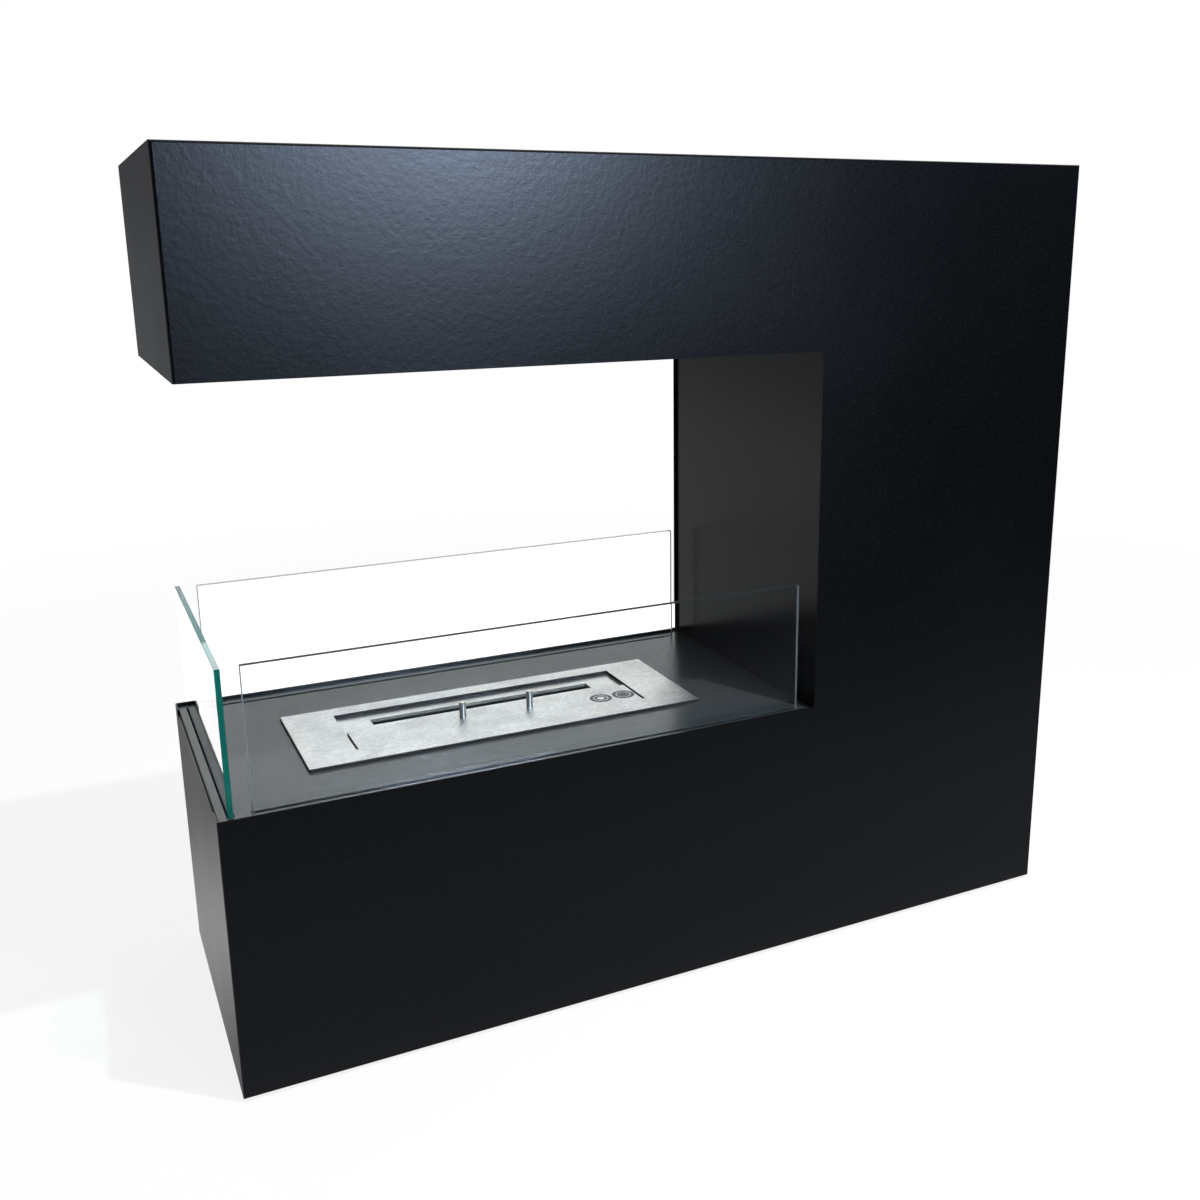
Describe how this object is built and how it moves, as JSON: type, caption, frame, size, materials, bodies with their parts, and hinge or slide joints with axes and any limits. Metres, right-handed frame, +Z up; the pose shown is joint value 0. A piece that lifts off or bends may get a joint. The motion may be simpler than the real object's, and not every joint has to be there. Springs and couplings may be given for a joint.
{
  "type": "bioethanol fireplace",
  "caption": "Free-standing C-shaped bioethanol fireplace, open at front, back and left end, with loose glass panes and a drop-in burner with sliding lid.",
  "frame": {"origin": "on the floor, under the middle of the body", "axes": "+X along the front to the right, towards the column; +Y from the front face to the back; +Z up"},
  "size_m": [0.9, 0.315, 0.808],
  "materials": {
    "black_steel": "satin black powder coat, fine texture",
    "zinc_steel": "galvanised sheet",
    "brushed_stainless": "brushed along its length",
    "turned_stainless": "turned and polished",
    "tank_steel": "plain rolled stainless sheet",
    "clear_glass": "clear toughened glass with polished green-tinted edges",
    "seat_strip": "matt silicone",
    "rubber": "matt moulded rubber",
    "fixings": "zinc plated",
    "ceramic_fibre": "soft ceramic-fibre block"
  },
  "bodies": {
    "body": {"front_panel": "black_steel", "rear_panel": "black_steel", "top_panel": "black_steel", "canopy_end_panel": "black_steel", "base_end_panel": "black_steel", "column_end_panel": "black_steel", "base_plate": "black_steel", "hearth_plate": "black_steel", "canopy_soffit": "black_steel", "column_inner_panel": "black_steel", "canopy_rib_left": "zinc_steel", "canopy_rib_right": "zinc_steel", "base_rib_left": "zinc_steel", "base_rib_right": "zinc_steel", "column_rib_lower": "zinc_steel", "column_rib_upper": "zinc_steel", "canopy_heat_shield": "zinc_steel", "foot_front_left": "rubber", "foot_front_right": "rubber", "foot_back_left": "rubber", "foot_back_right": "rubber", "front_glass_channel": "black_steel", "rear_glass_channel": "black_steel", "side_glass_channel": "black_steel", "front_glass_seat": "seat_strip", "rear_glass_seat": "seat_strip", "side_glass_seat": "seat_strip", "base_screws": "fixings", "base_nuts": "fixings", "burner_cradle": "tank_steel"},
    "burner": {"burner_flange": "brushed_stainless", "burner_tank": "tank_steel", "burner_deck": "brushed_stainless", "fibre_block": "ceramic_fibre"},
    "lid": {"slide_lid": "brushed_stainless", "lid_pin_left": "turned_stainless", "lid_pin_right": "turned_stainless"},
    "front_pane": {"front_glass": "clear_glass"},
    "rear_pane": {"rear_glass": "clear_glass"},
    "side_pane": {"side_glass": "clear_glass"}
  },
  "joints": [
    {"name": "lid_slide", "type": "slide", "parent": "burner", "child": "lid", "axis": [0, 1, 0], "range_m": [0, 0.0485]},
    {"name": "burner_lift", "type": "slide", "parent": "body", "child": "burner", "axis": [0, 0, 1], "range_m": [0, 0.12]},
    {"name": "front_glass_lift", "type": "slide", "parent": "body", "child": "front_pane", "axis": [0, 0, 1], "range_m": [0, 0.16]},
    {"name": "rear_glass_lift", "type": "slide", "parent": "body", "child": "rear_pane", "axis": [0, 0, 1], "range_m": [0, 0.16]},
    {"name": "side_glass_lift", "type": "slide", "parent": "body", "child": "side_pane", "axis": [0, 0, 1], "range_m": [0, 0.16]}
  ]
}
